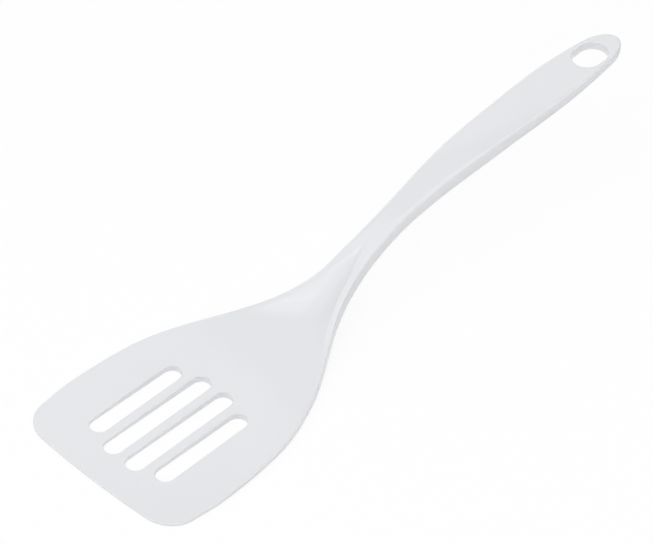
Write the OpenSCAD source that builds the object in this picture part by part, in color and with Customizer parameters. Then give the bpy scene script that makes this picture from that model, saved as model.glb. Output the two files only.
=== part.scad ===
// Slotted turner moulded in one piece from white plastic.
// It lies blade down: X runs across, Y runs from the blade's front edge to the handle's end, Z is up.
// The origin is on the underside's plane, below the middle of the overall length.

/* [Blade] */
// Length of the blade, from its front edge to the root of the neck
blade_l = 100; // [85:1:115]
// Width of the blade where it is widest
blade_w = 91.5; // [80:0.5:105]
// Thickness at the front edge
lip_t = 1; // [0.8:0.1:1.3]
// Thickness at the root, where the neck begins
root_t = 5.3; // [4.5:0.1:6.5]
// Width of a front corner's curve, measured across the blade
corner_w = 13; // [9:0.5:16]
// Length of a front corner's curve, measured along the blade
corner_l = 12; // [9:0.5:14]
// How far the middle of the front edge stands ahead of its ends
front_bow = 1.1; // [0.4:0.1:2]

/* [Slots] */
// Number of slots side by side
slot_count = 4; // [2:1:5]
// Width of a slot
slot_w = 8.9; // [6:0.1:9.5]
// Distance from one slot's middle to the next
slot_pitch = 12.9; // [12:0.1:14]
// Length of the middle slots
slot_l = 56.5; // [45:0.5:60]
// Distance from the front edge to the middle slots
slot_front = 12.6; // [10:0.1:16]
// How much the outer slots draw back at each end
slot_step = 4.1; // [2:0.1:6]

/* [Neck] */
// Length of the neck, from the blade's root to the grip
neck_l = 85; // [75:1:95]
// Width of the neck where it is narrowest
neck_w = 11.7; // [10:0.1:14]
// Thickness of the neck
neck_t = 8; // [6.5:0.1:9]
// Depth of the channel in the top of the neck
channel_d = 2.1; // [1:0.1:2.8]
// Width of the flat rim beside the channel, as far as the rounded edge
rim_w = 2; // [1.2:0.1:2.6]

/* [Handle] */
// Length of the grip, from the neck to the part with the hanging hole
grip_l = 85; // [75:1:100]
// Length of the end that holds the hanging hole
end_l = 35; // [32:1:42]
// Width of the handle where it is widest
grip_w = 21.9; // [20:0.1:26]
// Height of the handle's top above the plane that the blade lies on, at its end
rise = 48.6; // [40:0.2:58]
// Thickness at the handle's end
end_t = 3.6; // [3:0.1:5]
// Radius of the handle's top edges
edge_r = 2.2; // [1.4:0.1:2.6]
// Radius of the handle's bottom edges
base_r = 2; // [1.2:0.1:2.4]
// How far the middle of the handle's top stands above its edges
crown = 0.35; // [0:0.05:0.6]
// How far the middle of the handle's underside hangs below its edges
belly = 0.6; // [0:0.1:1]
// Length of the rounded tip, measured along the handle
tip_l = 11.3; // [9:0.1:13]

/* [Hanging hole] */
// Width of the hole across the handle
hole_w = 13.4; // [10:0.1:14]
// Length of the hole along the handle
hole_l = 16.9; // [14.5:0.1:18]
// Distance from the handle's end to the hole
hole_margin = 8.5; // [7:0.1:10]

/* [Hidden] */
plastic = [0.9, 0.9, 0.91];
$fn = 64;

// Every cut runs past the surfaces that it goes through by this much
overrun = 5;
// Least half width of a ring, at the very tip
tip_w = 0.8;
// Distance from one ring to the next, where the outline turns slowly
ring_step = 3;

neck_y = blade_l;
grip_y = neck_y + neck_l;
end_y = grip_y + grip_l;
total_l = end_y + end_l;
handle_l = grip_l + end_l;
half_blade = blade_w / 2;
half_neck = neck_w / 2;
half_grip = grip_w / 2;

// The blade's side: place along the blade, and width as a share of the way from neck to blade
blade_side_shares = [[0, 0.96], [0.12, 0.972], [0.25, 1], [0.38, 0.991], [0.52, 0.964],
    [0.64, 0.918], [0.74, 0.852], [0.84, 0.751], [0.94, 0.63]];
// The same along the neck, which narrows to its waist
neck_side_shares = [[0.05, 0.48], [0.165, 0.32], [0.285, 0.175], [0.4, 0.077], [0.52, 0.028],
    [0.66, 0.003], [0.82, 0]];
// The handle's side: place along the handle, and width as a share of the way from neck to grip
handle_side_shares = [[0.01, 0.2], [0.14, 0.48], [0.275, 0.68], [0.41, 0.81], [0.54, 0.93],
    [0.68, 1], [0.81, 0.87], [1, 0.3]];
// The blade's thickness: place along the blade, and share of the way from lip to root
blade_top_shares = [[0, 0], [0.115, 0.13], [0.2, 0.175], [0.4, 0.29], [0.62, 0.45], [0.75, 0.555],
    [0.85, 0.66], [0.95, 0.83], [1, 1]];
// The rim's height from the root to the end, as shares of the rise, along the neck and the handle
neck_top_shares = [[0.06, 0.027], [0.176, 0.097], [0.294, 0.194], [0.412, 0.303], [0.55, 0.449],
    [0.71, 0.579], [0.88, 0.696]];
handle_top_shares = [[0.042, 0.789], [0.167, 0.86], [0.29, 0.898], [0.46, 0.932], [0.64, 0.962],
    [0.82, 0.984], [1, 1]];
// The neck's thickness, from the root's to its own, and the handle's, from the neck's to the end's
neck_depth_shares = [[0, 0], [0.06, 0.28], [0.2, 0.82], [0.36, 1], [0.6, 1]];
handle_depth_shares = [[0.08, 0.02], [0.29, 0.12], [0.5, 0.34], [0.71, 0.6], [0.875, 0.92], [1, 1]];
// The channel's depth along the neck, and the part of the clear width that it takes up
channel_depth_shares = [[0, 0], [0.06, 0.05], [0.17, 0.62], [0.27, 1], [0.36, 0.86], [0.45, 0.56],
    [0.52, 0.3], [0.58, 0.14], [0.66, 0]];
channel_width_shares = [[0, 1], [0.44, 1], [0.48, 0.9], [0.52, 0.7], [0.57, 0.45], [0.62, 0.2],
    [0.66, 0.12]];
// How much of the crown and of the belly there is: the heel that the neck rises from is flat across
neck_crown_shares = [[0.5, 0]];
handle_crown_shares = [[0, 0.5], [0.35, 1], [1, 0.5]];
neck_belly_shares = [[0.45, 0], [0.8, 1]];
handle_belly_shares = [[0.4, 1], [1, 0.5]];
// The edges' radii as shares of the handle's, along the blade, the neck and the handle
blade_edge_shares = [[0, 0.16], [0.6, 0.22]];
neck_edge_shares = [[0, 0.4], [0.5, 0.55]];
handle_edge_shares = [[0, 1], [0.7, 0.92], [1, 0.75]];
// The most of the thickness that one edge's radius may take
edge_cap_share = 0.42;
// How far along the blade the bow of the front edge fades out
bow_fade_share = 0.45;
// How far out the front edge's ends are, where the bow is measured
bow_reach_share = 0.7;

function places(start, length, table) = [for (row = table) [start + row[0] * length, row[1]]];
function blend(table, low, high) = [for (row = table) [row[0], low + row[1] * (high - low)]];

half_widths = concat(
    blend(places(0, blade_l, blade_side_shares), half_neck, half_blade),
    blend(places(neck_y, neck_l, neck_side_shares), half_neck, half_blade),
    blend(places(grip_y, handle_l, handle_side_shares), half_neck, half_grip));
rim_heights = concat(
    blend(places(0, blade_l, blade_top_shares), lip_t, root_t),
    blend(places(neck_y, neck_l, neck_top_shares), root_t, rise),
    blend(places(grip_y, handle_l, handle_top_shares), root_t, rise));
depths = concat(
    blend(places(neck_y, neck_l, neck_depth_shares), root_t, neck_t),
    blend(places(grip_y, handle_l, handle_depth_shares), neck_t, end_t));
channel_depths = blend(places(neck_y, neck_l, channel_depth_shares), 0, channel_d);
channel_widths = places(neck_y, neck_l, channel_width_shares);
edge_shares = concat(places(0, blade_l, blade_edge_shares),
    places(neck_y, neck_l, neck_edge_shares), places(grip_y, handle_l, handle_edge_shares));
crowns = blend(concat(
    places(neck_y, neck_l, neck_crown_shares), places(grip_y, handle_l, handle_crown_shares)), 0, crown);
bellies = blend(concat(
    places(neck_y, neck_l, neck_belly_shares), places(grip_y, handle_l, handle_belly_shares)), 0, belly);

// A smooth curve through the rows of a table, level beyond its ends
function step_slope(table, i) = (table[i + 1][1] - table[i][1]) / (table[i + 1][0] - table[i][0]);
function tangent(table, i, last) =
    i == 0 ? step_slope(table, 0) :
    i == last ? step_slope(table, last - 1) :
    let (before = table[i][0] - table[i - 1][0], after = table[i + 1][0] - table[i][0])
    (step_slope(table, i - 1) * after + step_slope(table, i) * before) / (before + after);
function row_before(table, y, i = 0) =
    i >= len(table) - 2 || y < table[i + 1][0] ? i : row_before(table, y, i + 1);
function curve(table, y) =
    let (last = len(table) - 1)
    y <= table[0][0] ? table[0][1] :
    y >= table[last][0] ? table[last][1] :
    let (i = row_before(table, y), h = table[i + 1][0] - table[i][0], t = (y - table[i][0]) / h)
    (2 * t ^ 3 - 3 * t ^ 2 + 1) * table[i][1] + (t ^ 3 - 2 * t ^ 2 + t) * h * tangent(table, i, last)
    + (3 * t ^ 2 - 2 * t ^ 3) * table[i + 1][1] + (t ^ 3 - t ^ 2) * h * tangent(table, i + 1, last);

// Quarter of an ellipse: 1 at the start of a rounded end, falling to 0 at its far end
function round_off(into) = sqrt(max(0, 1 - into ^ 2));
function corner_cut(y) = corner_w * (1 - round_off(max(0, 1 - y / corner_l)));
function tip_round(y) = round_off(max(0, (y - total_l + tip_l) / tip_l));
function half_width(y) =
    max(tip_w, (curve(half_widths, y) - corner_cut(y)) * tip_round(y));
function rim_height(y) = curve(rim_heights, y);
function depth(y) = y <= neck_y ? rim_height(y) : curve(depths, y);
function top_r(y) = min(edge_r * curve(edge_shares, y), edge_cap_share * depth(y));
function low_r(y) = min(base_r * curve(edge_shares, y), edge_cap_share * depth(y));
// Half width of the flat inside an edge of radius r, which also runs round the handle's end
function flat_half(y, r) =
    (curve(half_widths, y) - corner_cut(y) - r) * round_off(max(0, (y - total_l + tip_l) / (tip_l - r)));
// How far an edge of radius r has curved away at a point
function edge_drop(x, y, r) =
    let (flat = flat_half(y, r), past = max(0, (y - total_l + r) / r))
    r * (1 - round_off(past + (1 - past) * max(0, x - flat) / (half_width(y) - flat)));
// Where the rounded edge begins in a ring
function brim(y, r) = max(flat_half(y, r), half_width(y) / 2);
function channel_half(y) =
    let (clear = brim(y, top_r(y)))
    max(clear / 8, (clear - rim_w) * curve(channel_widths, y));
function channel_at(x, y) = curve(channel_depths, y) * (1 - min(1, x / channel_half(y)) ^ 2);
function crown_at(x, y) = curve(crowns, y) * (1 - (x / half_width(y)) ^ 2);
function belly_at(x, y) = curve(bellies, y) * (1 - (x / half_width(y)) ^ 2);
function top_at(x, y) = rim_height(y) - edge_drop(x, y, top_r(y)) - channel_at(x, y) + crown_at(x, y);
function base_at(x, y) =
    max(0, rim_height(y) - depth(y) - belly_at(x, y)) + edge_drop(x, y, low_r(y));
function bow_at(x, y) =
    front_bow * (x / (bow_reach_share * half_blade)) ^ 2 * max(0, 1 - y / (bow_fade_share * blade_l)) ^ 2;

// Places across the top, as shares of the channel's half width
channel_shares = [0, 0.28, 0.54, 0.78, 1];
// Turns round the top edge, and round the bottom edge
top_turns = [0, 30, 60, 90];
low_turns = [0, 30, 60, 90];
// Places across the underside, as many as across the channel
base_shares = [0.8, 0.6, 0.4, 0.2, 0];

// Half of a ring, from the middle of the top round the right side to the middle of the underside
function half_ring(y) =
    let (w = half_width(y), over = brim(y, top_r(y)), under = brim(y, low_r(y)))
    concat(
        [for (s = channel_shares) let (x = s * channel_half(y)) [x, top_at(x, y)]],
        [for (a = top_turns) let (x = over + (w - over) * sin(a)) [x, top_at(x, y)]],
        [for (a = low_turns) let (x = under + (w - under) * cos(a)) [x, base_at(x, y)]],
        [for (s = base_shares) [s * under, base_at(s * under, y)]]);
function ring(y) =
    let (half = half_ring(y), last = len(half) - 1)
    concat(
        [for (p = half) [p[0], y + bow_at(p[0], y), p[1]]],
        [for (i = [last - 1 : -1 : 1]) [-half[i][0], y + bow_at(half[i][0], y), half[i][1]]]);

// A closed skin over a row of rings, made of triangles
module skin(stations) {
    rings = [for (y = stations) ring(y)];
    size = len(rings[0]);
    half = size / 2;
    middle = (half - 1) / 2;
    last = len(rings) - 1;
    sides = [for (k = [0 : last - 1], i = [0 : size - 1])
        let (j = (i + 1) % size, a = k * size + i, b = k * size + j, c = a + size, d = b + size)
        each i < half ? [[a, c, b], [b, c, d]] : [[a, d, b], [a, c, d]]];
    // An end is closed in upright strips from the top to the underside, first on the right side
    strips = [for (i = [0 : middle - 1]) let (low = half - i)
        each [[i, i + 1, low - 1], [i, low - 1, low]]];
    cap = concat(strips, [for (f = strips) [for (v = [f[2], f[1], f[0]]) (size - v) % size]]);
    polyhedron(
        points = [for (r = rings) each r],
        faces = concat(sides, cap, [for (f = cap) [for (v = [f[2], f[1], f[0]]) v + last * size]]),
        convexity = 4);
}

function spread(from, to, step) =
    let (count = max(1, ceil((to - from) / step)))
    [for (i = [0 : count - 1]) from + (to - from) * i / count];
// Rings close in on a rounded end, where the outline turns fast
front_turns = [0, 6, 14, 24, 36, 50, 68];
tip_turns = [18, 34, 48, 58, 66, 73, 79, 84, 90];
blade_stations = concat(
    [for (a = front_turns) corner_l * (1 - cos(a))],
    spread(corner_l, blade_l, ring_step), [neck_y]);
neck_stations = concat(spread(neck_y, grip_y, ring_step), [grip_y]);
grip_stations = concat(spread(grip_y, end_y, ring_step), [end_y]);
tip_y = total_l - tip_l;
end_stations = concat(
    spread(end_y, tip_y, ring_step), [tip_y],
    [for (a = tip_turns) tip_y + tip_l * sin(a)]);

slot_middle = slot_front + slot_l / 2;
function slot_place(i) = (i - (slot_count - 1) / 2) * slot_pitch;
function slot_length(i) =
    abs(i - (slot_count - 1) / 2) < 1 ? slot_l : slot_l - 2 * slot_step;

// A hole with straight sides and round ends, which lies along Y and goes right through
module long_hole(width, length, low, high) {
    run = length - width;
    for (side = [-1, 1])
        translate([0, side * run / 2, low])
            cylinder(d = width, h = high - low);
    translate([-width / 2, -run / 2, low])
        cube([width, run, high - low]);
}

module centred() {
    translate([0, -total_l / 2, 0])
        children();
}

module blade() {
    color(plastic)
        centred()
            difference() {
                skin(blade_stations);
                for (i = [0 : slot_count - 1])
                    translate([slot_place(i), slot_middle, 0])
                        long_hole(slot_w, slot_length(i), -overrun, root_t + overrun);
            }
}

module neck() {
    color(plastic)
        centred()
            skin(neck_stations);
}

module grip() {
    color(plastic)
        centred()
            skin(grip_stations);
}

module hanging_end() {
    color(plastic)
        centred()
            difference() {
                skin(end_stations);
                translate([0, total_l - hole_margin - hole_l / 2, 0])
                    long_hole(hole_w, hole_l, rise - neck_t - overrun, rise + overrun);
            }
}

blade();
neck();
grip();
hanging_end();
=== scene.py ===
import math

import bmesh
import bpy
from mathutils import Matrix, Vector


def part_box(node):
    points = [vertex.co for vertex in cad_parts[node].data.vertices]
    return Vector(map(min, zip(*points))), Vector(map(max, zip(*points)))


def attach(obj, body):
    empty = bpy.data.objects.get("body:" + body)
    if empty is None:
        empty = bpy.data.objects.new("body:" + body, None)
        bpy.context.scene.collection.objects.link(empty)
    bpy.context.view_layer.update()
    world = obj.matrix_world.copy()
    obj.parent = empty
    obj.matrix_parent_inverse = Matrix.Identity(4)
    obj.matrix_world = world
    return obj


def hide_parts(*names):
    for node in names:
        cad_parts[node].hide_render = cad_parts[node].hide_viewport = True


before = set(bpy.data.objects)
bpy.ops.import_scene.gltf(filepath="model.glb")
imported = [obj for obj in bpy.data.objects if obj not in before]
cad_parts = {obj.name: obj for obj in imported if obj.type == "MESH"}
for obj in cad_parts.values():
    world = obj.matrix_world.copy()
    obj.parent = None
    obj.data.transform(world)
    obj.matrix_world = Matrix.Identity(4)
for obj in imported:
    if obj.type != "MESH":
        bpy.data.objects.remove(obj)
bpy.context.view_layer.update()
print("frame loaded:", sorted(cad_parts))

mm = 0.001
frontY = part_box("blade")[0].y  # the front edge, from which every place along the turner is measured


def smooth(value, start, end):  # eases from 0 at start to 1 at end
    t = min(1.0, max(0.0, (value - start) / (end - start)))
    return t * t * (3 - 2 * t)


def quarter(into):  # a quarter circle: 1 at its start, 0 where into reaches 1
    return math.sqrt(max(0.0, 1 - into * into))


def slopeAt(table, i):  # the slope at a row of a table, from the rows on either side
    def step(k):
        return (table[k + 1][1] - table[k][1]) / (table[k + 1][0] - table[k][0])
    if i == 0:
        return step(0)
    if i == len(table) - 1:
        return step(i - 1)
    before = table[i][0] - table[i - 1][0]
    after = table[i + 1][0] - table[i][0]
    return (step(i - 1) * after + step(i) * before) / (before + after)


def curve(table, y):  # a smooth curve through the table's rows, level beyond its ends
    if y <= table[0][0]:
        return table[0][1]
    if y >= table[-1][0]:
        return table[-1][1]
    i = max(k for k in range(len(table) - 1) if table[k][0] <= y)
    first = table[i][1]
    last = table[i + 1][1]
    span = table[i + 1][0] - table[i][0]
    t = (y - table[i][0]) / span
    return ((2 * t**3 - 3 * t**2 + 1) * first + (t**3 - 2 * t**2 + t) * span * slopeAt(table, i)
            + (3 * t**2 - 2 * t**3) * last + (t**3 - t**2) * span * slopeAt(table, i + 1))


# The turner: one moulding, in millimetres. The rows of a table give a place along it, measured
# from the front edge, and the size there.
turner = {
    "length": 305,
    "halfWidth": [(0, 44.1), (12, 44.6), (25, 45.7), (38, 45.5), (52, 44.5), (64, 42.75),
                  (74, 40.05), (84, 36.05), (94, 31.25), (104, 25.2), (114, 18.75), (124, 12.9),
                  (134, 8.9), (144, 7.0), (156, 5.85), (170, 5.65), (186, 6.65), (202, 8.0),
                  (218, 9.0), (234, 9.6), (250, 10.3), (266, 10.6), (282, 9.95), (305, 7.2)],
    # height of the upper edge above the surface that the turner lies on
    "rimHeight": [(0, 1.15), (36, 2.2), (72, 3.25), (78, 3.46), (85, 3.82), (95, 4.55),
                  (100, 5.3), (105, 6.5), (115, 9.5), (125, 13.7), (135, 18.4), (147, 24.8),
                  (160, 30.3), (175, 35.5), (190, 39.5), (205, 42.5), (220, 44.2), (240, 45.6),
                  (262, 47.0), (284, 47.9), (305, 48.6)],
    # below the upper edge; in front of the first row the underside lies on the surface
    "thickness": [(100, 5.3), (105, 6.1), (117, 7.5), (131, 7.9), (150, 7.5), (170, 7.3),
                  (185, 7.4), (210, 7.5), (235, 6.5), (260, 5.3), (285, 4.0), (305, 3.6)],
    # rounding of the upper and the lower edge, and how far the sides swell between them
    "topEdge": [(0, 0.35), (20, 0.4), (60, 0.45), (90, 0.6), (120, 0.9), (160, 1.0), (190, 1.3),
                (215, 1.4), (265, 1.3), (285, 1.1), (305, 1.1)],
    "lowEdge": [(0, 0.35), (20, 0.65), (60, 1.6), (90, 1.7), (120, 1.5), (160, 1.7), (190, 2.0),
                (265, 1.8), (285, 1.4), (305, 1.3)],
    "sideBulge": [(115, 0), (145, 0.8), (200, 1.2), (262, 1.1), (290, 0)],
    "edgeSegments": 6,
    # the rounded front corners, the bowed front edge and the rounded tip of the handle
    "cornerWidth": 12.9,
    "cornerLength": 12.1,
    "frontBow": 1.1,
    "bowReach": 32,
    "bowFade": 45,
    "tipLength": 11.3,
    # the channel in the neck: its depth, the rim beside it, and the share of the width between
    # the rims that it keeps as it closes
    "channelDepth": [(70, 0), (84, 0.1), (100, 0.25), (108, 0.65), (114.5, 1.3), (123, 2.1),
                     (130.5, 1.8), (138, 1.2), (144, 0.65), (149, 0.3), (156, 0)],
    "channelRim": [(70, 4), (100, 3.3), (117, 3.2), (138, 2.9), (160, 2.9)],
    "channelTip": [(137, 1), (141, 0.88), (144, 0.68), (148.5, 0.42), (153, 0.17), (157, 0.08)],
    # how far the top and the underside are rounded outwards across the handle
    "crown": [(142, 0), (185, 0.18), (225, 0.35), (305, 0.15)],
    "belly": [(138, 0), (168, 0.6), (235, 0.6), (305, 0.3)],
}
slots = {
    "count": 4,
    "width": 8.5,
    "pitch": 12.9,
    "frontOfInner": 13.65,  # where the inner slots begin
    "lengthOfInner": 56.1,
    "drawnIn": 4.1,  # the outer slots are this much shorter at each end
    "rim": 0.35,
    "lowRim": 0.25,
}
hole = {
    "width": 13.4,
    "length": 16.9,
    "margin": 8.5,  # to the end of the handle
    "rim": 0.5,
    "lowRim": 0.4,
}
# The grid that the moulding is shaped from. Its stretches give where each ends and its rows.
grid = {
    "columns": 32,  # on each side of the middle
    "slotColumns": 10,  # that a slot and half the bars beside it take up
    "barColumns": 1,  # left standing on each side of an opening
    "stretches": [(turner["cornerLength"], 9), (74, 44), (100, 26), (162, 76), (275, 70),
                  (turner["length"] - turner["tipLength"], 20), (turner["length"], 10)],
    "straightTo": 74,  # columns run straight up to here
    "sharedFrom": 98,  # and share the width evenly from here
    "margin": 1.4,  # cut away beyond each end of an opening
    "outerRing": 1.15,  # room that an edge's rounding is given, as a share of its radius
    "slantStep": 0.5,  # to each side, over which the outline's slant is taken
}


def rowPlaces():
    cornerRows = grid["stretches"][0][1]
    places = [turner["cornerLength"] * (1 - math.cos(math.radians(90 * k / cornerRows)))
              for k in range(cornerRows)]
    for (start, _), (end, count) in zip(grid["stretches"], grid["stretches"][1:]):
        places += [start + (end - start) * k / count for k in range(count)]
    return places + [turner["length"]]


rows = rowPlaces()


def acrossPlace(share, width, y):  # where a column lies: straight beside the slots, shared elsewhere
    side = -1 if share < 0 else 1
    column = abs(share) * grid["columns"]
    straight = slots["count"] / 2 * grid["slotColumns"]
    pitch = slots["pitch"] / grid["slotColumns"]
    if column <= straight:
        beside = column * pitch
    else:
        room = width - straight * pitch
        beside = straight * pitch + room * (column - straight) / (grid["columns"] - straight)
    blend = smooth(y, grid["straightTo"], grid["sharedFrom"])
    return side * (beside * (1 - blend) + abs(share) * width * blend)


# Where a grid point lies, seen from above, with the outline drawn in by inset
def planPlace(share, along, inset):
    corner = turner["cornerLength"]
    tip = turner["length"] - turner["tipLength"]
    if along > tip:
        t = (along - tip) / turner["tipLength"]
        y = tip + (turner["tipLength"] - inset) * t * math.sqrt(1 - share * share / 2)
        return share * (curve(turner["halfWidth"], y) - inset) * math.sqrt(1 - t * t / 2), y
    y = along
    width = curve(turner["halfWidth"], along) - inset
    if along < corner:
        y = inset + (corner - inset) * along / corner
        width -= (turner["cornerWidth"] - inset) * (1 - quarter(1 - along / corner))
    return acrossPlace(share, width, y), y


# Each slot and the hanging hole: its middle, half its straight run, its radius, the rounding of
# its rims, and the columns between which the grid is cut for it
def openings():
    found = []
    for i in range(slots["count"]):
        place = i - (slots["count"] - 1) / 2
        drawnIn = 0 if abs(place) < 1 else slots["drawnIn"]  # the two inner slots run on
        radius = slots["width"] / 2
        found.append({
            "x": place * slots["pitch"],
            "y": slots["frontOfInner"] + slots["lengthOfInner"] / 2,
            "run": slots["lengthOfInner"] / 2 - drawnIn - radius,
            "radius": radius,
            "rim": slots["rim"],
            "lowRim": slots["lowRim"],
            "firstColumn": (place - 0.5) * grid["slotColumns"] + grid["barColumns"],
            "lastColumn": (place + 0.5) * grid["slotColumns"] - grid["barColumns"],
        })
    found.append({
        "x": 0,
        "y": turner["length"] - hole["margin"] - hole["length"] / 2,
        "run": (hole["length"] - hole["width"]) / 2,
        "radius": hole["width"] / 2,
        "rim": hole["rim"],
        "lowRim": hole["lowRim"],
        "firstColumn": grid["barColumns"] - grid["columns"],
        "lastColumn": grid["columns"] - grid["barColumns"],
    })
    return found


def wallPlace(opening, x, y, reach):  # the nearest point of an opening's wall, pushed out by reach
    along = max(-opening["run"], min(opening["run"], y - opening["y"]))
    core = Vector((opening["x"], opening["y"] + along))
    return core + (Vector((x, y)) - core).normalized() * (opening["radius"] + reach)


def channelAt(x, y):
    between = curve(turner["halfWidth"], y) - curve(turner["channelRim"], y)
    half = between * curve(turner["channelTip"], y)
    return curve(turner["channelDepth"], y) * (1 - min(1.0, abs(x) / half) ** 2)


def topHeight(x, y):
    across = (x / curve(turner["halfWidth"], y)) ** 2
    rim = curve(turner["rimHeight"], y)
    return rim - channelAt(x, y) + curve(turner["crown"], y) * (1 - across)


def lowHeight(x, y):
    if y <= turner["thickness"][0][0]:
        return 0
    across = (x / curve(turner["halfWidth"], y)) ** 2
    height = curve(turner["rimHeight"], y) - curve(turner["thickness"], y)
    return max(0, height - curve(turner["belly"], y) * (1 - across))


def bowAt(x, y):  # how far the front edge is set back towards its corners
    fade = max(0, 1 - y / turner["bowFade"])
    return turner["frontBow"] * (x / turner["bowReach"]) ** 2 * fade ** 2


def ringInset(y):  # leaves room for the rounded edge, also where the outline runs aslant
    radius = max(curve(turner["topEdge"], y), curve(turner["lowEdge"], y))
    step = grid["slantStep"]
    spread = curve(turner["halfWidth"], y + step) - curve(turner["halfWidth"], y - step)
    return grid["outerRing"] * radius * math.hypot(1, spread / (2 * step))


def onlyPoints(made):
    return [g for g in made if isinstance(g, bmesh.types.BMVert)]


def extrudeRim(bm, edges):  # gives the new points and the new edges
    made = bmesh.ops.extrude_edge_only(bm, edges=edges)["geom"]
    return onlyPoints(made), [g for g in made if isinstance(g, bmesh.types.BMEdge)]


def cutOpening(bm, opening):  # gives the edges round the gap that is left in the grid
    left = opening["firstColumn"] / grid["columns"]
    right = opening["lastColumn"] / grid["columns"]
    halfLength = opening["run"] + opening["radius"] + grid["margin"]
    inside = [f for f in bm.faces if left < f.calc_center_median().x < right
              and abs(f.calc_center_median().y - opening["y"]) < halfLength]
    cut = set(inside)
    border = [e for e in bm.edges if sum(f in cut for f in e.link_faces) == 1]
    bmesh.ops.delete(bm, geom=inside, context="FACES")
    return border


# The share of the bevel's width that each sharp edge is rounded by, upper and lower ones apart
def weighEdges(bm, topPoints, ringOf, rims, fullWidth):
    weight = bm.edges.layers.float.new("bevel_weight_edge")
    for e in bm.edges:
        isTop = [v in topPoints for v in e.verts]
        onWall = any(len({v in topPoints for v in f.verts}) == 2 for f in e.link_faces)
        if isTop[0] == isTop[1] and onWall:
            y = (e.verts[0].co.y + e.verts[1].co.y) / 2
            radius = curve(turner["topEdge" if isTop[0] else "lowEdge"], y)
            if e.verts[0][ringOf]:
                radius = rims[e.verts[0][ringOf] - 1]["rim" if isTop[0] else "lowRim"]
            e[weight] = radius / fullWidth


def swellSides(bm, topPoints, ringOf):  # halves the outer wall and pushes the new points outwards
    start = frontY + turner["sideBulge"][0][0] * mm
    uprights = [e for e in bm.edges if not e.verts[0][ringOf] and e.verts[0].co.y > start
                and sum(v in topPoints for v in e.verts) == 1]
    for v in onlyPoints(bmesh.ops.subdivide_edges(bm, edges=uprights, cuts=1)["geom_inner"]):
        bulge = curve(turner["sideBulge"], (v.co.y - frontY) / mm) * mm
        v.co.x += math.copysign(bulge, v.co.x)


def makeTurner():
    bm = bmesh.new()
    ringOf = bm.verts.layers.int.new("ringOf")  # the opening that a point lies round, from 1
    reach = bm.verts.layers.float.new("reach")  # how far its ring stands outside that opening
    inset = bm.verts.layers.float.new("inset")  # how far the outline is drawn in for a point
    lastRow = len(rows) - 1
    bmesh.ops.create_grid(bm, x_segments=2 * grid["columns"], y_segments=lastRow, size=1)
    for v in bm.verts:
        v.co.y = rows[round((v.co.y + 1) / 2 * lastRow)]
        v[inset] = ringInset(v.co.y)

    # a ring that leaves room for the rounding and a ring on the wall close round each opening
    rims = openings()
    for number, opening in enumerate(rims, 1):
        border = cutOpening(bm, opening)
        for out in (grid["outerRing"] * opening["rim"], 0):
            points, border = extrudeRim(bm, border)
            for v in points:
                v[ringOf] = number
                v[reach] = out
    outline = [e for e in bm.edges if e.is_boundary and not any(v[ringOf] for v in e.verts)]
    for v in extrudeRim(bm, outline)[0]:
        v[inset] = 0
    print("turner: grid cut for", len(rims), "openings")

    for v in bm.verts:
        x, y = planPlace(v.co.x, v.co.y, v[inset])
        if v[ringOf]:
            x, y = wallPlace(rims[v[ringOf] - 1], x, y, v[reach])
        v.co = Vector((x, y, 0))
    made = bmesh.ops.extrude_face_region(bm, geom=bm.faces[:], use_keep_orig=True)["geom"]
    topPoints = set(onlyPoints(made))
    fullWidth = max(radius for _, radius in turner["topEdge"])
    weighEdges(bm, topPoints, ringOf, rims, fullWidth)

    # from here on in metres, at its place in the frame
    for v in bm.verts:
        x, y = v.co.x, v.co.y
        height = topHeight(x, y) if v in topPoints else lowHeight(x, y)
        v.co = Vector((x * mm, frontY + (y + bowAt(x, y)) * mm, height * mm))
    swellSides(bm, topPoints, ringOf)
    bmesh.ops.recalc_face_normals(bm, faces=bm.faces[:])
    for f in bm.faces:
        f.smooth = True

    mesh = bpy.data.meshes.new("turnerMoulding")
    bm.to_mesh(mesh)
    bm.free()
    piece = bpy.data.objects.new("turner_moulding", mesh)
    bpy.context.scene.collection.objects.link(piece)
    edge = piece.modifiers.new("moulded edges", "BEVEL")
    edge.limit_method = "WEIGHT"
    edge.width = fullWidth * mm
    edge.segments = turner["edgeSegments"]
    edge.profile = 0.5
    edge.use_clamp_overlap = False
    print("turner:", len(mesh.vertices), "points before its edges are rounded")
    return piece


class Wire:  # a shader socket that can be reckoned with
    def __init__(self, tree, socket=None):
        self.tree = tree
        self.socket = socket

    # a new node: its settings, then the values or links of its sockets, by name or as i and number
    def node(self, kind, settings=None, output=0, **values):
        made = self.tree.nodes.new(kind)
        for name, value in (settings or {}).items():
            setattr(made, name, value)
        for name, value in values.items():
            target = made.inputs[int(name[1:]) if name[1:].isdigit() else name]
            if isinstance(value, Wire):
                self.tree.links.new(value.socket, target)
            else:
                target.default_value = value
        return Wire(self.tree, made.outputs[output])

    def math(self, operation, first, second):
        return self.node("ShaderNodeMath", {"operation": operation}, i0=first, i1=second)

    def __add__(self, other):
        return self.math("ADD", self, other)

    def __radd__(self, other):
        return self.math("ADD", other, self)

    def __sub__(self, other):
        return self.math("SUBTRACT", self, other)

    def __rsub__(self, other):
        return self.math("SUBTRACT", other, self)

    def __mul__(self, other):
        return self.math("MULTIPLY", self, other)

    def __rmul__(self, other):
        return self.math("MULTIPLY", other, self)


finish = {
    "colour": (0.800, 0.806, 0.822, 1),
    "deepColour": (0.785, 0.792, 0.810, 1),
    "cloudScale": 28,
    "cloudDetail": 3.0,
    "roughness": 0.09,
    "roughnessSpread": 0.02,
    "smearScale": 140,
    "smearDetail": 4.0,
    "skinScale": 900,
    "skinDetail": 2.0,
    "skinStrength": 0.05,
    "skinDepth": 0.00006,
}


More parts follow.
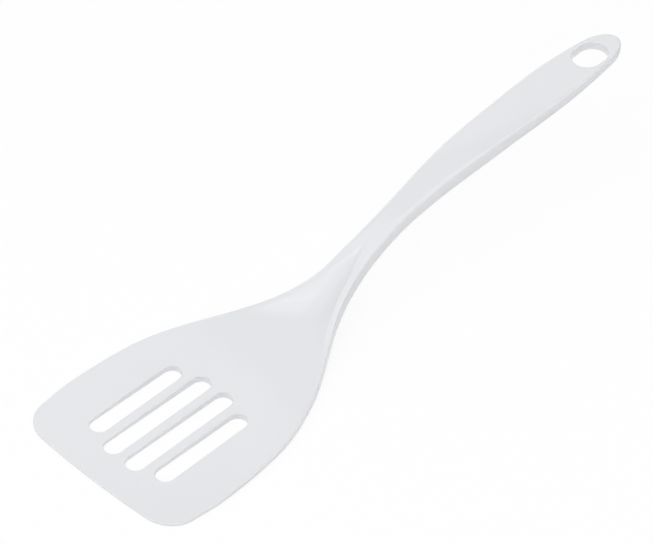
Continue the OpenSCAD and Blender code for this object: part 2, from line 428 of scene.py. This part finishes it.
def whitePlastic():
    material = bpy.data.materials.new("white moulded plastic")
    material.use_nodes = True
    tree = material.node_tree
    shader = tree.nodes["Principled BSDF"]
    net = Wire(tree)
    place = net.node("ShaderNodeTexCoord", output="Object")
    cloud = net.node("ShaderNodeTexNoise", Vector=place, Scale=finish["cloudScale"],
                     Detail=finish["cloudDetail"])
    smear = net.node("ShaderNodeTexNoise", Vector=place, Scale=finish["smearScale"],
                     Detail=finish["smearDetail"])
    skin = net.node("ShaderNodeTexNoise", Vector=place, Scale=finish["skinScale"],
                    Detail=finish["skinDetail"])
    # a colour Mix node has its factor at 0, its two colours at 6 and 7 and their mix at output 2
    colour = net.node("ShaderNodeMix", {"data_type": "RGBA"}, output=2,
                      i0=cloud, i6=finish["deepColour"], i7=finish["colour"])
    # a noise swings about 0.5
    roughness = finish["roughness"] + (smear - 0.5) * finish["roughnessSpread"]
    bump = net.node("ShaderNodeBump", Strength=finish["skinStrength"],
                    Distance=finish["skinDepth"], Height=skin)
    tree.links.new(colour.socket, shader.inputs["Base Color"])
    tree.links.new(roughness.socket, shader.inputs["Roughness"])
    tree.links.new(bump.socket, shader.inputs["Normal"])
    return material


# The studio, in metres. Each lamp has an azimuth and a height angle as seen from the turner, in
# degrees, then its width, height and brightness.
studio = {
    "floorSize": 7.0,
    "floorColour": (0.95, 0.95, 0.95, 1),
    "floorGlow": 0.88,  # how much of the floor that the camera sees is plain white
    "worldColour": (0.315, 0.3173, 0.3225, 1),
    "distance": 2.2,
    "lamps": {
        "top": (0, 90, 1.8, 1.8, 0.88),
        "key": (272, 60, 0.85, 0.85, 1.6),
        "right": (30, 60, 1.9, 0.85, 1.85),
        "lowRight": (8, 22, 2.0, 0.8, 0.62),
        "left": (216, 57, 1.3, 1.2, 0.66),
        "frontLeft": (237, 32, 2.0, 1.05, 1.28),
        "frontRight": (303, 32, 2.0, 1.05, 1.28),
    },
    "backdropAzimuth": 135,
    "backdropDistance": 3.0,
    "backdropWidth": 6.0,
    "backdropTop": 49.6,  # height angle of its upper edge, clear of the blade's reflection
    "backdropStrength": 0.55,
}


def makeFloor():
    bm = bmesh.new()
    bmesh.ops.create_grid(bm, x_segments=2, y_segments=2, size=studio["floorSize"] / 2)
    mesh = bpy.data.meshes.new("floor")
    bm.to_mesh(mesh)
    bm.free()
    floor = bpy.data.objects.new("floor", mesh)
    bpy.context.scene.collection.objects.link(floor)
    material = bpy.data.materials.new("white floor")
    material.use_nodes = True
    tree = material.node_tree
    tree.nodes.remove(tree.nodes["Principled BSDF"])
    net = Wire(tree)
    camera = net.node("ShaderNodeLightPath", output="Is Camera Ray")
    glossy = net.node("ShaderNodeLightPath", output="Is Glossy Ray")
    transmission = net.node("ShaderNodeLightPath", output="Is Transmission Ray")
    seen = (camera + glossy + transmission) * studio["floorGlow"]
    shade = net.node("ShaderNodeBsdfDiffuse", Color=studio["floorColour"])
    glow = net.node("ShaderNodeEmission", Strength=1.0)  # shows as white
    mixed = net.node("ShaderNodeMixShader", i0=seen, i1=shade, i2=glow)
    tree.links.new(mixed.socket, tree.nodes["Material Output"].inputs["Surface"])
    floor.data.materials.append(material)


def direction(azimuth, rise):  # from the turner, in degrees
    turn = math.radians(azimuth)
    tilt = math.radians(rise)
    return Vector((math.cos(turn) * math.cos(tilt), math.sin(turn) * math.cos(tilt),
                   math.sin(tilt)))


def addLamp(name, away, place, width, height, brightness):  # shines back along away
    lamp = bpy.data.lights.new(name, "AREA")
    lamp.shape = "RECTANGLE"
    lamp.size = width
    lamp.size_y = height
    lamp.energy = brightness * math.pi * width * height
    holder = bpy.data.objects.new(name, lamp)
    holder.location = place
    holder.rotation_euler = away.to_track_quat("Z", "Y").to_euler()
    bpy.context.scene.collection.objects.link(holder)


def makeLights():
    world = bpy.data.worlds.new("studio")
    bpy.context.scene.world = world
    world.use_nodes = True
    world.node_tree.nodes["Background"].inputs["Color"].default_value = studio["worldColour"]
    for name, (azimuth, rise, width, height, brightness) in studio["lamps"].items():
        away = direction(azimuth, rise)
        addLamp(name, away, away * studio["distance"], width, height, brightness)
    away = direction(studio["backdropAzimuth"], 0) * studio["backdropDistance"]
    height = studio["backdropDistance"] * math.tan(math.radians(studio["backdropTop"]))
    addLamp("backdrop", away, away + Vector((0, 0, height / 2)), studio["backdropWidth"], height,
            studio["backdropStrength"])


# The camera: the target, in millimetres from the middle of the front edge, shows at targetPixel
view = {
    "azimuth": 45.0,
    "elevation": 43.07,
    "distance": 1600,
    "target": (0, 150, 20),
    "targetPixel": (359.9, 260.0),
    "focalPixels": 3889.6,
    "imageSize": (652, 544),
    "sensor": 36,
    "clipEnd": 100,
}


def makeCamera():
    turn = math.radians(view["azimuth"])
    rise = math.radians(view["elevation"])
    back = Vector((math.sin(turn) * math.cos(rise), -math.cos(turn) * math.cos(rise),
                   math.sin(rise)))
    right = Vector((math.cos(turn), math.sin(turn), 0))
    up = back.cross(right)
    x = (view["imageSize"][0] / 2 - view["targetPixel"][0]) / view["focalPixels"]
    y = (view["targetPixel"][1] - view["imageSize"][1] / 2) / view["focalPixels"]
    target = Vector(view["target"]) * mm + Vector((0, frontY, 0))
    camera = bpy.data.objects.new("camera", bpy.data.cameras.new("camera"))
    camera.data.sensor_width = view["sensor"]
    camera.data.lens = view["focalPixels"] / view["imageSize"][0] * view["sensor"]
    camera.data.clip_end = view["clipEnd"]
    camera.location = target + back * view["distance"] * mm
    axis = (back - right * x - up * y).normalized()
    side = up.cross(axis).normalized()
    camera.rotation_euler = Matrix((side, axis.cross(side), axis)).transposed().to_euler()
    bpy.context.scene.collection.objects.link(camera)
    bpy.context.scene.camera = camera


makeCamera()
makeFloor()
makeLights()
bpy.context.scene.view_settings.view_transform = "Standard"
print("camera, floor and lights placed")

moulding = makeTurner()
moulding.data.materials.append(whitePlastic())
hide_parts("blade", "neck", "grip", "hanging_end")
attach(moulding, "root")
print("turner finished")
